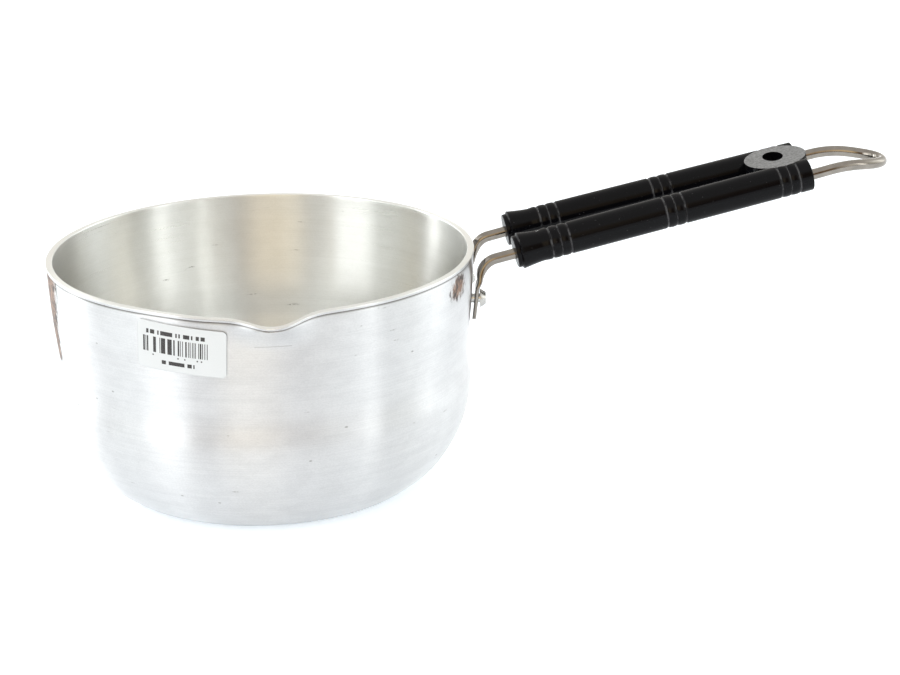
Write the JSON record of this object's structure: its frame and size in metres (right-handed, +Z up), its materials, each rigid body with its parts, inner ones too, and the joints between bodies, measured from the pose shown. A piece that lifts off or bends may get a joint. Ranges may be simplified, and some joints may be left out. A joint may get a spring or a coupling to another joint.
{
  "type": "candle melting pot",
  "caption": "Spun aluminium melting pot with a flared wall, one pouring lip in the rim and a long twin-rod handle with moulded grips and a hanging eye.",
  "frame": {"origin": "centre of the flat base, on the surface that the pot stands on", "axes": "+Z up, +X from the pan along the handle, -Y towards the pouring lip"},
  "size_m": [0.372, 0.1898, 0.1326],
  "materials": {
    "pan": "satin, turned marks round the wall",
    "rod": "bright nickel plate",
    "grip": "black phenolic, glossy, top of the eye ground matt",
    "rivet": "bright",
    "label": "coated paper sticker"
  },
  "bodies": {
    "root": {"pot_body": "pan", "handle_wire": "rod", "handle_grip": "grip", "rivet_near": "rivet", "rivet_far": "rivet", "size_label": "label"}
  },
  "joints": []
}
